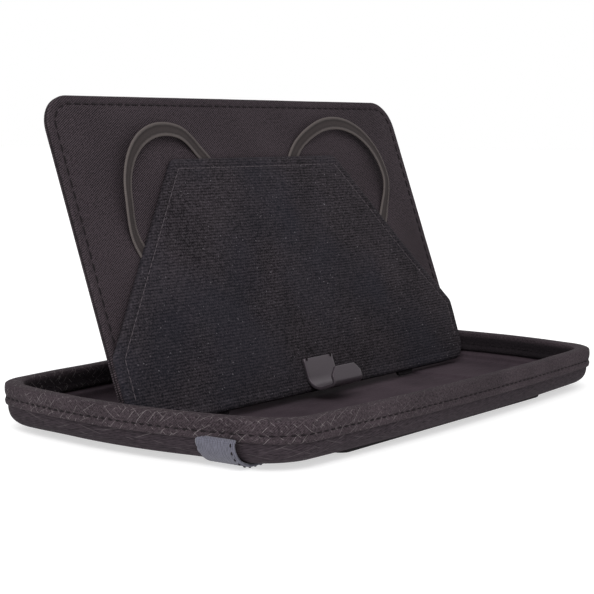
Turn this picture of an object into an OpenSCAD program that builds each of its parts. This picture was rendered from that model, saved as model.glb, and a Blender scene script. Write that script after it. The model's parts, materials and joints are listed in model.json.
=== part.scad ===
// Soft-shell tablet case opened as a stand.
// A shallow tray lies on the table.  A stiff fabric board stands in it on two
// foot tabs, held up from behind by a folding prop that is hinged to the rear
// rim of the tray.  A ribbed backrest, two elastic corner loops and a bent
// hook on the front of the board hold the tablet.
// +X runs along the tray's long side, the board faces -Y, +Z is up, and the
// origin is on the table under the middle of the tray.

/* [Tray] */
// Outside length of the tray
tray_length = 220; // [200:1:240]
// Outside width of the tray
tray_width = 134; // [126:1:146]
// Height of the rim above the table
rim_height = 16.2; // [15:0.1:20]
// Radius of the tray's four corners
corner_radius = 11; // [8:0.5:18]
// How far the short sides bulge out between their corners
short_side_bow = 10; // [4:0.5:12]
// How far the long sides bulge out between their corners
long_side_bow = 4; // [1:0.5:6]
// Thickness of the moulded foam wall
shell_wall = 2.4; // [1.6:0.1:2.8]
// Thickness of the inner lining
lining_thickness = 0.6; // [0.4:0.1:0.8]
// Height above the table of the shell's flat underside
shell_lift = 1.6; // [1.4:0.1:2]

/* [Rim binding] */
// Thickness of the woven binding tape
tape_thickness = 0.8; // [0.5:0.1:1]
// Visible height of the tape outside
tape_drop_outside = 7.4; // [6:0.2:8]
// Visible height of the tape inside
tape_drop_inside = 8; // [6:0.2:8.4]

/* [Closure band] */
// Width of the elastic band
band_width = 15; // [12:0.5:18]
// Thickness of the elastic band
band_thickness = 1.2; // [0.8:0.1:1.3]
// Middle of the band, measured forward from the tray's middle
band_offset = 39.5; // [38:0.5:42]

/* [Stand board] */
// Width of the board
board_width = 202.4; // [190:0.2:206]
// Height of the board along its slope
board_height = 112.9; // [106:0.1:116]
// Corner radius of the board
board_corner = 11.6; // [8:0.2:14]
// Thickness of the board with its fabric
board_thickness = 2.5; // [2.2:0.1:3]
// Lean of the board from the vertical, in degrees
board_lean = 19.7; // [16:0.1:24]
// Height of the board's lower front edge above the table
board_foot_z = 5.75; // [5.7:0.05:7]
// Place of the board's lower front edge along Y
board_foot_y = -0.6; // [-3:0.1:2]

/* [Prop] */
// Height up the board at which the prop is hinged to it
prop_attach = 47; // [42:0.5:50]
// Half width of the prop at the tray's rim
prop_half_rim = 34; // [28:1:40]
// Half width of the prop at the board
prop_half_board = 46; // [40:1:60]
// Thickness of the prop with its fabric
prop_thickness = 2; // [1.6:0.1:2.2]

/* [Backrest] */
// Height of the backrest's straight sides
rest_side = 24.3; // [20:0.1:28]
// Height of the backrest's top edge
rest_top = 89.1; // [84:0.1:92]
// Half width of the backrest's top edge
rest_top_half = 48.4; // [44:0.1:52]

/* [Corner loops] */
// Radius of each elastic loop
loop_radius = 27.6; // [26:0.1:29]
// Distance of each loop's centre from the middle of the board
loop_x = 49; // [48:0.1:50]
// Height of each loop's centre up the board
loop_v = 72.5; // [71.5:0.1:73.5]
// Width of the elastic ribbon
loop_ribbon = 5.6; // [4:0.1:6]
// Thickness of the elastic ribbon
loop_thickness = 1.2; // [0.8:0.1:1.4]

/* [Hook] */
// Width of the hook
hook_width = 17.5; // [14:0.5:22]
// Clear depth of the hook in front of the backrest
hook_depth = 10.9; // [9:0.1:13]
// Height of the hook's front lip
hook_lip = 5.8; // [5:0.1:8]
// Thickness of the hook's bent sheet
hook_sheet = 1.2; // [0.8:0.1:1.4]

/* [Hidden] */

// Rounding of the tray's bottom edge: how far it draws in, and its steps
bottom_draw = 10;
arc_steps = 8;
corner_steps = 7;
side_steps = 10;
shell_top = rim_height - tape_thickness;
tape_bottom_out = rim_height - tape_drop_outside;
tape_bottom_in = rim_height - tape_drop_inside;
shell_out = tape_thickness;
shell_in = shell_out + shell_wall;
lining_in = shell_in + lining_thickness;
tape_in = lining_in + tape_thickness;
shell_floor = shell_lift + 1.2;
floor_z = shell_floor + lining_thickness;
inner_draw = bottom_draw + 1;

pad_half_x = 66;
pad_rear_y = 50;
pad_front_y = -57.4;
band_front_y = -band_offset - band_width / 2;
band_rear_y = -band_offset + band_width / 2;
channel_gap = 1;
// Half length of the tray where the band crosses its short side
side_at_band = tray_length / 2 - short_side_bow * pow(2 * band_offset / tray_width, 2);
floor_pad_height = 1;

skin = 0.4;
edge_wrap = 0.6;
rest_gap = 0.9;
rest_core_top = 1.6;
rest_front = 2;
rest_half = board_width / 2;
recess_gap = 0.4;

hinge_tape = 0.5;
prop_axis_clear = 1.9;
board_axis_n = -board_thickness - prop_axis_clear;
rim_axis_y = tray_width / 2 - 5;
rim_axis_z = rim_height + 1.4;
board_angle = 90 - board_lean;
board_axis_y = board_foot_y + prop_attach * cos(board_angle) - board_axis_n * sin(board_angle);
board_axis_z = board_foot_z + prop_attach * sin(board_angle) + board_axis_n * cos(board_angle);
prop_length = norm([board_axis_y - rim_axis_y, board_axis_z - rim_axis_z]);
prop_angle = atan2(board_axis_z - rim_axis_z, board_axis_y - rim_axis_y);
prop_end_clear = 1.6;

loop_n = 2.9;
loop_tilt = 10;
loop_from = -23.5;
loop_to = 137;
tail_length = 11;
tail_thickness = 0.5;
foot_x = 58;
foot_width = 11;
foot_drop = 1.6;
foot_thickness = 1.2;

// ---- outline of the tray, drawn in by "inset" --------------------------------

// Points of one rounded corner, turned to its quadrant
function corner_arc(half_x, half_y, r, quadrant) =
    let (sx = [1, -1, -1, 1][quadrant], sy = [1, 1, -1, -1][quadrant])
    [for (i = [0:corner_steps])
        let (a = quadrant * 90 + 90 * i / corner_steps)
        [sx * (half_x - r) + r * cos(a), sy * (half_y - r) + r * sin(a)]];

// Points strictly between two corners
function side_points(from, to) =
    [for (i = [1:side_steps - 1]) from + (to - from) * i / side_steps];

// Rounded rectangle, counter-clockwise, with points along its sides
function rounded_outline(half_x, half_y, r) =
    let (c = [for (q = [0:3]) corner_arc(half_x, half_y, r, q)])
    [for (q = [0:3])
        each concat(c[q], side_points(c[q][corner_steps], c[(q + 1) % 4][0]))];

// The same outline with bowed sides
function tray_outline(inset) =
    let (hx = tray_length / 2 - inset, hy = tray_width / 2 - inset)
    [for (p = rounded_outline(hx, hy, corner_radius))
        let (u = p[0] / hx, v = p[1] / hy)
        [p[0] - short_side_bow * v * v * u, p[1] - long_side_bow * u * u * v]];

function ring(inset, z) = [for (p = tray_outline(inset)) [p[0], p[1], z]];

// Quarter ellipse of rings from the flat floor up to the straight wall
function bowl_rings(floor_inset, wall_inset, low, high) =
    [for (i = [0:arc_steps])
        let (a = 90 * i / arc_steps)
        ring(floor_inset - (floor_inset - wall_inset) * sin(a), high - (high - low) * cos(a))];

function reversed(list) = [for (i = [len(list) - 1:-1:0]) list[i]];

// Triangles between two neighbouring rings of n points
function band_faces(low, high, n) =
    [for (j = [0:n - 1])
        let (k = (j + 1) % n)
        each [[low + j, high + j, high + k], [low + j, high + k, low + k]]];

// Solid between stacked rings, with flat caps on the first and the last
module loft(rings) {
    n = len(rings[0]);
    m = len(rings);
    sides = [for (i = [0:m - 2]) each band_faces(i * n, (i + 1) * n, n)];
    bottom = [[for (j = [0:n - 1]) j]];
    top = [[for (j = [n - 1:-1:0]) (m - 1) * n + j]];
    polyhedron(points = [for (r = rings) each r], faces = concat(sides, bottom, top));
}

// Closed ring-shaped solid: the last ring joins the first
module ring_loft(rings) {
    n = len(rings[0]);
    m = len(rings);
    sides = [for (i = [0:m - 1]) each band_faces(i * n, ((i + 1) % m) * n, n)];
    polyhedron(points = [for (r = rings) each r], faces = sides);
}

// ---- flat outlines with rounded corners --------------------------------------

function unit(v) = v / norm(v);

// Arc that rounds the corner at b between a and c
function corner_fillet(a, b, c, r, steps) =
    let (u = unit(a - b), w = unit(c - b), half = acos(u * w) / 2,
        centre = b + unit(u + w) * r / sin(half),
        start = b + u * r / tan(half) - centre,
        end = b + w * r / tan(half) - centre,
        a0 = atan2(start[1], start[0]), turn = atan2(end[1], end[0]) - a0,
        sweep = turn > 180 ? turn - 360 : turn < -180 ? turn + 360 : turn)
    [for (i = [0:steps]) centre + r * [cos(a0 + sweep * i / steps), sin(a0 + sweep * i / steps)]];

// Outline through points, each with its own corner radius
function rounded_polygon(points, radii, steps) =
    let (n = len(points))
    [for (i = [0:n - 1])
        each corner_fillet(points[(i + n - 1) % n], points[i], points[(i + 1) % n], radii[i], steps)];

// Slab of a flat outline between two heights
module slab(outline, low, high) {
    translate([0, 0, low])
        linear_extrude(high - low)
            polygon(outline);
}

// ---- places ------------------------------------------------------------------

// Board coordinates: x across, y up the board's slope, z out of its front
module on_board() {
    translate([0, board_foot_y, board_foot_z])
        rotate([board_angle, 0, 0])
            children();
}

// Prop coordinates: x across, y from the rim to the board, z to the underside
module on_prop() {
    translate([0, rim_axis_y, rim_axis_z])
        rotate([prop_angle, 0, 0])
            children();
}

// ---- tray --------------------------------------------------------------------

module tray_shell() {
    outer = bowl_rings(bottom_draw, shell_out, shell_lift, tape_bottom_out);
    inner = bowl_rings(inner_draw, shell_in, shell_floor, tape_bottom_in);
    color("#4b474b")
        loft(concat(outer, [ring(shell_out, shell_top), ring(shell_in, shell_top)],
            reversed(inner)));
}

module tray_lining() {
    outer = bowl_rings(inner_draw, shell_in, shell_floor, tape_bottom_in);
    inner = bowl_rings(inner_draw, lining_in, floor_z, tape_bottom_in);
    color("#54494f")
        loft(concat(outer, [ring(shell_in, shell_top), ring(lining_in, shell_top)],
            reversed(inner)));
}

module rim_binding() {
    round_r = tape_in / 2;
    top_arc = [for (i = [0:arc_steps])
        let (a = 180 - 180 * i / arc_steps)
        [round_r + round_r * cos(a), rim_height - 0.8 + 0.8 * sin(a)]];
    section = concat(
        [[shell_out, shell_top], [shell_out, tape_bottom_out], [0, tape_bottom_out]],
        top_arc,
        [[tape_in, tape_bottom_in], [lining_in, tape_bottom_in], [lining_in, shell_top]]);
    color("#565358")
        ring_loft([for (p = section) ring(p[0], p[1])]);
}

module base_pad(y_low, y_high, corner) {
    corners = [[-pad_half_x, y_low], [pad_half_x, y_low], [pad_half_x, y_high], [-pad_half_x, y_high]];
    slab(rounded_polygon(corners, [for (i = [0:3]) corner], 6), 0, shell_lift);
}

module base_pad_rear() {
    color("#454145")
        base_pad(band_rear_y + channel_gap, pad_rear_y, 5);
}

module base_pad_front() {
    color("#454145")
        base_pad(pad_front_y, band_front_y - channel_gap, 1.2);
}

// Raised end of the inside floor; side is -1 on the left and 1 on the right
module floor_pad(side) {
    reach = tray_length / 2;
    color("#5a4f55")
        translate([0, 0, floor_z])
            linear_extrude(floor_pad_height)
                intersection() {
                    polygon(tray_outline(inner_draw + 1.5));
                    translate([side > 0 ? pad_half_x : -pad_half_x - reach, -reach])
                        square([reach, 2 * reach]);
                }
}

module floor_pad_left() {
    floor_pad(-1);
}

module floor_pad_right() {
    floor_pad(1);
}

module closure_band() {
    bend_x = 10;
    bend_z = 8.4;
    start_x = side_at_band + band_thickness - bend_x;
    low = tape_bottom_out - 0.1 - bend_z;
    outer = [for (i = [0:2 * arc_steps])
        let (a = 90 * i / (2 * arc_steps))
        [start_x + bend_x * cos(a), low + bend_z - bend_z * sin(a)]];
    inner = [for (i = [0:2 * arc_steps])
        let (a = 90 * i / (2 * arc_steps))
        [start_x + (bend_x - band_thickness) * cos(a),
            low + bend_z - (bend_z - band_thickness) * sin(a)]];
    right = concat(reversed(inner), outer);
    left = [for (p = reversed(right)) [-p[0], p[1]]];
    color("#aab0b8")
        translate([0, band_rear_y, 0])
            rotate([90, 0, 0])
                linear_extrude(band_width)
                    polygon(concat(right, left));
}

module rim_hinge_tape() {
    color("#3f3c40")
        translate([-prop_half_rim, rim_axis_y - hinge_tape - 0.2, tape_bottom_in + 1])
            cube([2 * prop_half_rim, hinge_tape, rim_height + 0.4 - tape_bottom_in - 1]);
}

// ---- prop --------------------------------------------------------------------

function prop_outline(inset) =
    let (low = prop_end_clear + inset, high = prop_length - prop_end_clear - inset,
        a = prop_half_rim - inset, b = prop_half_board - inset)
    rounded_polygon([[-a, low], [a, low], [b, high], [-b, high]], [2, 2, 2, 2], 4);

module prop_core() {
    color("#2c2a2c")
        on_prop()
            slab(prop_outline(edge_wrap), skin - prop_thickness / 2, prop_thickness / 2 - skin);
}

module prop_top_skin() {
    color("#4a4548")
        on_prop()
            slab(prop_outline(0), -prop_thickness / 2, skin - prop_thickness / 2);
}

module prop_under_skin() {
    color("#4a4548")
        on_prop()
            slab(prop_outline(0), prop_thickness / 2 - skin, prop_thickness / 2);
}

// ---- board -------------------------------------------------------------------

function board_outline(inset) =
    let (x = board_width / 2 - inset, top = board_height - inset, r = board_corner - inset)
    rounded_polygon([[-x, inset], [x, inset], [x, top], [-x, top]], [r, r, r, r], 12);

module board_core() {
    color("#2c2a2c")
        on_board()
            slab(board_outline(edge_wrap), skin - board_thickness, -skin);
}

module board_front_skin() {
    color("#6a5f66")
        on_board()
            slab(board_outline(0), -skin, 0);
}

module board_back_skin() {
    color("#4f494d")
        on_board()
            slab(board_outline(0), -board_thickness, skin - board_thickness);
}

module board_edging() {
    color("#3a3538")
        on_board()
            difference() {
                slab(board_outline(0), skin - board_thickness, -skin);
                slab(board_outline(edge_wrap), -board_thickness, skin);
            }
}

module board_hinge_tape() {
    reach = 7;
    color("#3f3c40")
        on_board()
            translate([-prop_half_board, prop_attach - reach, -board_thickness - hinge_tape])
                cube([2 * prop_half_board, 2 * reach, hinge_tape]);
}

// ---- backrest ----------------------------------------------------------------

backrest_corners = [
    [-rest_half, 0.4], [rest_half, 0.4], [rest_half, rest_side],
    [rest_top_half, rest_top], [-rest_top_half, rest_top], [-rest_half, rest_side]];
backrest_outline = rounded_polygon(backrest_corners, [7, 7, 4, 3, 3, 4], 6);

// Where each loop dives under the backrest, as an angle on the loop
tail_angles = [-29.5, 143];

// One tail of the right-hand loop, from its dive point inwards
module tail(angle, grow, low, high) {
    turn = angle > 0 ? angle + 90 : angle - 90;
    translate([loop_x + loop_radius * cos(angle), loop_v + loop_radius * sin(angle), low])
        rotate([0, 0, turn])
            translate([-grow - 0.2, -loop_ribbon / 2 - grow, 0])
                cube([tail_length + 2 * grow, loop_ribbon + 2 * grow, high - low]);
}

// All four tails, mirrored from the right-hand pair
module all_tails(grow, low, high) {
    for (side = [0, 1])
        mirror([side, 0, 0])
            for (angle = tail_angles)
                tail(angle, grow, low, high);
}

module loop_tails() {
    color("#8f8a90")
        on_board()
            intersection() {
                all_tails(0, 0.1, 0.1 + tail_thickness);
                slab(backrest_outline, 0, 1);
            }
}

module backrest_backing() {
    color("#2e3038")
        on_board()
            difference() {
                slab(backrest_outline, 0, rest_gap);
                all_tails(recess_gap, -1, rest_gap + 1);
            }
}

module backrest_core() {
    color("#2c2a2c")
        on_board()
            slab(backrest_outline, rest_gap, rest_core_top);
}

module backrest_cover() {
    color("#3f434e")
        on_board()
            slab(backrest_outline, rest_core_top, rest_front);
}

// ---- corner loops ------------------------------------------------------------

module loop_ring() {
    w = loop_ribbon / 2;
    t = loop_thickness / 2;
    translate([loop_x, loop_v, loop_n])
        rotate([0, 0, loop_from])
            rotate_extrude(angle = loop_to - loop_from, $fn = 96)
                translate([loop_radius, 0])
                    rotate(loop_tilt)
                        translate([-w, -t])
                            square([2 * w, 2 * t]);
}

module left_loop() {
    color("#938d92")
        on_board()
            mirror([1, 0, 0])
                loop_ring();
}

module right_loop() {
    color("#938d92")
        on_board()
            loop_ring();
}

// ---- hook and feet -----------------------------------------------------------

function arc_points(cx, cy, r, a0, a1, steps) =
    [for (i = [0:steps])
        let (a = a0 + (a1 - a0) * i / steps)
        [cx + r * cos(a), cy + r * sin(a)]];

// Bent sheet in section: back plate down, ledge forward, lip up
module support_hook() {
    back_top = 12;
    bend = 6;
    lip_bend = 2;
    cut = 4.2;
    low = -0.8;
    face = rest_front + hook_depth;
    lip_x = face + hook_sheet;
    top = low + hook_sheet + hook_lip;
    outside = concat(
        [[rest_front, back_top]],
        arc_points(rest_front + bend, low + bend, bend, 180, 270, 8),
        arc_points(lip_x - lip_bend, low + lip_bend, lip_bend, 270, 360, 6),
        [[lip_x, top]]);
    inside = concat(
        [[face, top]],
        arc_points(lip_x - lip_bend, low + lip_bend, lip_bend - hook_sheet, 360, 270, 6),
        arc_points(rest_front + bend, low + bend, bend - hook_sheet, 270, 180, 8),
        [[rest_front + hook_sheet, back_top]]);
    color("#1d1c1e")
        on_board()
            difference() {
                translate([-hook_width / 2, 0, 0])
                    rotate([90, 0, 90])
                        linear_extrude(hook_width)
                            polygon([for (p = concat(outside, inside)) [p[1], p[0]]]);
                for (side = [-1, 1])
                    translate([side * hook_width / 2, top, face])
                        rotate([0, 0, 45])
                            cube([cut, cut, 4 * hook_sheet], center = true);
            }
}

module foot_tab(side) {
    color("#353134")
        on_board()
            translate([side * foot_x - foot_width / 2, -foot_drop, -foot_thickness])
                cube([foot_width, foot_drop, foot_thickness]);
}

module left_foot_tab() {
    foot_tab(-1);
}

module right_foot_tab() {
    foot_tab(1);
}

tray_shell();
tray_lining();
rim_binding();
base_pad_rear();
base_pad_front();
floor_pad_left();
floor_pad_right();
closure_band();
rim_hinge_tape();
prop_core();
prop_top_skin();
prop_under_skin();
board_core();
board_front_skin();
board_back_skin();
board_edging();
board_hinge_tape();
backrest_backing();
backrest_core();
backrest_cover();
loop_tails();
left_loop();
right_loop();
support_hook();
left_foot_tab();
right_foot_tab();
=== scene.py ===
"""Looks of the tablet case: tray, prop, board, backrest, elastics, hook and studio.

Lengths in the tables below are millimetres in the CAD frame; MM turns them into metres.
Board coordinates are x across, v up the board's slope and n out of its front face.
"""

import json
import math

import bpy
import bmesh
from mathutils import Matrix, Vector, noise


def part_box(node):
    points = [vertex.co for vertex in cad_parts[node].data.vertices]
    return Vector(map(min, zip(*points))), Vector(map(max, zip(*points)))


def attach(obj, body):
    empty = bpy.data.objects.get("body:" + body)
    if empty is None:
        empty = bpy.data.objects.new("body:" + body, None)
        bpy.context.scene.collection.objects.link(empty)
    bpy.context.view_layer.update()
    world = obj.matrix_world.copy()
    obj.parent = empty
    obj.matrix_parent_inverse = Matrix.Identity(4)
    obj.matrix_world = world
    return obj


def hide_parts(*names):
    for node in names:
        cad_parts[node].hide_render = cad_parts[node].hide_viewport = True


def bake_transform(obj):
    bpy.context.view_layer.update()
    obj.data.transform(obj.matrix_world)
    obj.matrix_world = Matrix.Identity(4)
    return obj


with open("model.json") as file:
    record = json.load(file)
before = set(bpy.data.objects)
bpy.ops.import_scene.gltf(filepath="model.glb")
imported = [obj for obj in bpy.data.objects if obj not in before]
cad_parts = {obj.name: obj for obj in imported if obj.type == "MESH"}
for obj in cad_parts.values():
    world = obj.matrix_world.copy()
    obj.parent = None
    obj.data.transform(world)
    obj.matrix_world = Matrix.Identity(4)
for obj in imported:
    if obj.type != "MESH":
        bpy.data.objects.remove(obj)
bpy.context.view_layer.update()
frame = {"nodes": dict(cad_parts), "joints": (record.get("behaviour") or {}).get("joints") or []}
MM = 0.001

# ---- sizes, from the frame ----

rim_low, rim_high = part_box("rim_binding")
TRAY_L = (rim_high.x - rim_low.x) / MM
TRAY_W = (rim_high.y - rim_low.y) / MM
RIM_Z = rim_high.z / MM
CORNER_R = 11.0
SHORT_BOW = 10.0
LONG_BOW = 4.0
TAPE_OUT_Z = RIM_Z - 7.4
TAPE_IN_Z = RIM_Z - 8.0
SHELL_OUT = 0.8
LINING_IN = 3.8
TAPE_IN = 4.6
SHELL_FLAT_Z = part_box("base_pad_rear")[1].z / MM
FLOOR_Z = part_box("floor_pad_right")[0].z / MM
END_FLOOR_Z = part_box("floor_pad_right")[1].z / MM
END_FLOOR_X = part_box("base_pad_rear")[1].x / MM

BOARD_W = (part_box("board_front_skin")[1].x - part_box("board_front_skin")[0].x) / MM
BOARD_H = 112.9
BOARD_R = 11.6
BOARD_T = 2.5
BOARD_LEAN = 19.7
FOOT_Y = -0.6
FOOT_Z = 5.75
BOARD_TURN = math.radians(90 - BOARD_LEAN)
UP = Vector((0, math.cos(BOARD_TURN), math.sin(BOARD_TURN)))
OUT = Vector((0, -math.sin(BOARD_TURN), math.cos(BOARD_TURN)))
FOOT = Vector((0, FOOT_Y, FOOT_Z))

joints = {j["name"]: j for j in frame["joints"]}
RIM_AXIS = Vector(joints["prop_hinge"]["pos_m"]) / MM
BOARD_AXIS = Vector(joints["board_hinge"]["pos_m"]) / MM
PROP_DIR = (BOARD_AXIS - RIM_AXIS).normalized()
PROP_LEN = (BOARD_AXIS - RIM_AXIS).length
PROP_OUT = Vector((0, -PROP_DIR.z, PROP_DIR.y))
PROP_TURN = math.atan2(PROP_DIR.z, PROP_DIR.y)


def on_board(x, v, n=0.0):
    """Point of the row frame, in metres, for board coordinates in millimetres."""
    return (Vector((x, 0, 0)) + FOOT + UP * v + OUT * n) * MM


def on_prop(x, s, n=0.0):
    """x across, s from the rim to the board, n towards the prop's underside."""
    return (Vector((x, 0, 0)) + RIM_AXIS + PROP_DIR * s + PROP_OUT * n) * MM


def in_tray(x, y, z):
    return Vector((x, y, z)) * MM


# ---- camera, at the photograph's angle ----

CAM_AZ, CAM_EL = math.radians(-53.36), math.radians(6.18)
CAM_DIST = 553.5
CAM_TARGET = Vector((-13.2, 0, 41.1))
CAM_LENS = 93.75
CAM_SENSOR = 36.0


def add_camera():
    back = Vector((math.sin(CAM_AZ) * math.cos(CAM_EL), -math.cos(CAM_AZ) * math.cos(CAM_EL),
                   math.sin(CAM_EL)))
    data = bpy.data.cameras.new("camera")
    data.lens = CAM_LENS
    data.sensor_width = CAM_SENSOR
    data.clip_start = 0.01
    data.clip_end = 20
    cam = bpy.data.objects.new("camera", data)
    cam.location = (CAM_TARGET + back * CAM_DIST) * MM
    cam.rotation_euler = back.to_track_quat("Z", "Y").to_euler()
    bpy.context.scene.collection.objects.link(cam)
    bpy.context.scene.camera = cam


add_camera()

# ---- node materials ----


def srgb(r, g, b):
    """Linear colour from 0-255 display values."""
    out = []
    for c in (r, g, b):
        c = c / 255
        out.append(c / 12.92 if c <= 0.04045 else ((c + 0.055) / 1.055) ** 2.4)
    return (*out, 1.0)


class Wire:
    """A node's output with plain arithmetic: each sign adds one math node."""

    def __init__(self, net, socket):
        self.net = net
        self.socket = socket

    def __add__(self, other):
        return self.net.math("ADD", self, other)

    def __sub__(self, other):
        return self.net.math("SUBTRACT", self, other)

    def __rsub__(self, other):
        return self.net.math("SUBTRACT", other, self)

    def __mul__(self, other):
        return self.net.math("MULTIPLY", self, other)

    def __truediv__(self, other):
        return self.net.math("DIVIDE", self, other)


class Net:
    """A material's node tree with short ways to add what the fabrics need."""

    def __init__(self, name, roughness=0.9, sheen=0.0, specular=0.3):
        self.mat = bpy.data.materials.new(name)
        self.mat.use_nodes = True
        self.tree = self.mat.node_tree
        self.bsdf = self.tree.nodes["Principled BSDF"]
        self.fill(self.bsdf, {"Roughness": roughness, "Sheen Weight": sheen, "Sheen Roughness": 0.45,
                              "Specular IOR Level": specular})

    def put(self, socket, value):
        if isinstance(value, Wire):
            self.tree.links.new(value.socket, socket)
        else:
            socket.default_value = value

    def fill(self, node, values):
        for key, value in values.items():
            self.put(node.inputs[key], value)
        return node

    def add(self, kind, **settings):
        n = self.tree.nodes.new(kind)
        for key, value in settings.items():
            setattr(n, key, value)
        return n

    def out(self, node, key=0):
        return Wire(self, node.outputs[key])

    def math(self, op, a, b=0.0, c=0.0):
        n = self.add("ShaderNodeMath", operation=op)
        return self.out(self.fill(n, dict(enumerate((a, b, c)[:len(n.inputs)]))))

    def mapped(self, vector, kind="POINT", **inputs):
        m = self.add("ShaderNodeMapping", vector_type=kind)
        return self.out(self.fill(m, {**inputs, "Vector": vector}))

    def position(self):
        return self.out(self.add("ShaderNodeTexCoord"), "Object")

    def object_coords(self, place=(0, 0, 0), turn=(0, 0, 0)):
        """Millimetre coordinates in a frame placed at place and turned by turn."""
        return self.mapped(self.position(), "TEXTURE", Location=[p * MM for p in place], Rotation=turn,
                           Scale=(MM, MM, MM))

    def cloth_coords(self):
        """Millimetre coordinates along the cloth, from the UV map."""
        return self.mapped(self.out(self.add("ShaderNodeUVMap", uv_map="cloth")), Scale=(1 / MM, 1 / MM, 1))

    def split(self, vector):
        n = self.add("ShaderNodeSeparateXYZ")
        self.put(n.inputs[0], vector)
        return [self.out(n, axis) for axis in range(3)]

    def noise(self, vector, scale, detail=2.0, rough=0.5, stretch=None):
        if stretch:
            vector = self.mapped(vector, Scale=stretch)
        n = self.add("ShaderNodeTexNoise")
        look = {"Vector": vector, "Scale": scale, "Detail": detail, "Roughness": rough}
        return self.out(self.fill(n, look))

    def ramp(self, value, stops):
        n = self.add("ShaderNodeValToRGB")
        while len(n.color_ramp.elements) < len(stops):
            n.color_ramp.elements.new(0.5)
        for e, (at, colour) in zip(n.color_ramp.elements, stops):
            e.position = at
            e.color = colour
        self.put(n.inputs[0], value)
        return self.out(n)

    def gate(self, value, low, high):
        """Black up to low, white from high."""
        return self.ramp(value, [(low, (0, 0, 0, 1)), (high, (1, 1, 1, 1))])

    def mix(self, fac, a, b):
        n = self.add("ShaderNodeMix", data_type="RGBA")
        return self.out(self.fill(n, {0: fac, 6: a, 7: b}), 2)

    def wave(self, q):
        """0 on the whole numbers of q, 1 half way between."""
        return 1.0 - self.math("ABSOLUTE", self.math("FRACT", q) * 2.0 - 1.0)

    def thin_line(self, q, width):
        """1 on the whole numbers of q, falling to 0 within width."""
        return self.math("SMOOTH_MIN", 1.0, self.math("MAXIMUM", 0.0, 1.0 - self.wave(q) / width), 0.1)

    def finish(self, colour, height=None, bump_mm=0.1, strength=1.0, rough=None):
        self.put(self.bsdf.inputs["Base Color"], colour)
        if rough is not None:
            self.put(self.bsdf.inputs["Roughness"], rough)
        if height is not None:
            bump = self.add("ShaderNodeBump")
            self.fill(bump, {"Strength": strength, "Distance": bump_mm * MM, "Height": height})
            self.put(self.bsdf.inputs["Normal"], self.out(bump))
        return self.mat


def twill(name, light, dark, place, turn):
    """Fine diagonal twill with slubs, in the plane of a turned frame."""
    net = Net(name, roughness=0.9, specular=0.12)
    co = net.object_coords(place, turn)
    x, v, _ = net.split(co)
    period, angle = 0.62, math.radians(32)
    across = v * math.cos(angle) - x * math.sin(angle)
    along = x * math.cos(angle) + v * math.sin(angle)
    q = across / period + net.noise(co, 0.35, 2) * 0.5
    step = net.wave(along / (period * 1.3) + net.math("FLOOR", q) * 0.37)
    yarn = net.wave(q) * (step * 0.5 + 0.5)
    slub = net.noise(co, 1.5, 3, 0.7)
    level = yarn * 0.85 + (slub * 1.2 - 0.42) + (net.noise(co, 0.03, 2) * 0.3 - 0.15)
    return net.finish(net.ramp(level, [(0.2, dark), (0.85, light)]), yarn + slub, 0.1, 0.8)


def ribbed_knit(name, light, dark, blue, place, turn):
    """Napped knit: rows along x a millimetre apart, broken into stitches, with lint."""
    net = Net(name, roughness=0.95, specular=0.12)
    co = net.object_coords(place, turn)
    x, v, _ = net.split(co)
    q = v / 1.06 + net.noise(co, 0.25, 3, 0.6) * 0.8
    cell = net.wave(x / 1.15 + net.math("FLOOR", q) * 0.5)
    stitch = net.wave(q) * (cell * 0.6 + 0.4)
    broken = net.noise(co, 0.45, 2, 0.6, stretch=(1.0, 2.2, 1.0))
    height = stitch * (broken * 0.9 + 0.05) + net.noise(co, 0.9, 4, 0.75) * 0.7
    speck = net.noise(co, 1.15, 2, 0.9, stretch=(1.0, 1.3, 1.0))
    level = height * 0.85 + (net.noise(co, 0.035, 3) * 0.4 - 0.34) + (speck * 1.6 - 0.8)
    base = net.ramp(level, [(0.05, dark), (0.85, light)])
    base = net.mix(net.gate(net.noise(co, 0.022, 2), 0.42, 0.62), base, net.mix(0.4, base, blue))
    lint = net.gate(net.noise(co, 1.0, 1), 0.735, 0.78)
    return net.finish(net.mix(lint * 0.8, base, srgb(104, 100, 105)), height, 0.2, 0.9)


def plain_weave(name, light, dark, pitch, lines=0.0, inner=None):
    """Plain woven cloth or tape; lines: pale crossing threads; inner: where painted shade begins across the
    cloth, darkening the tape's inner face.
    """
    net = Net(name, roughness=0.92, specular=0.12)
    co = net.cloth_coords()
    u, v, _ = net.split(co)
    warp, weft = net.wave(u / pitch), net.wave(v / pitch)
    hatch = net.wave((v - u) / (pitch * 1.7))
    over = (warp * weft + (1.0 - warp) * (1.0 - weft)) * 0.72 + hatch * 0.28
    fine = net.noise(co, 1.4, 3, 0.7)
    level = over * 0.7 + (fine * 1.3 + (net.noise(co, 0.05, 3) * 0.4 - 0.75))
    colour = net.ramp(level, [(0.15, dark), (0.85, light)])
    if inner is not None:
        # Painted shade: past inner, across the cloth, the colour is darkened towards near black, standing in
        # for the shade on the tape's inner face inside the tray.
        inner_face_shade = net.math("MINIMUM", 0.62, net.math("MAXIMUM", 0.0, (v - inner) * 0.6))
        colour = net.mix(inner_face_shade, colour, srgb(12, 12, 15))
    if lines > 0:
        colour = pale_threads(net, co, u, v, colour, lines)
    return net.finish(colour, over + fine, 0.08, 0.8)


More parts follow.
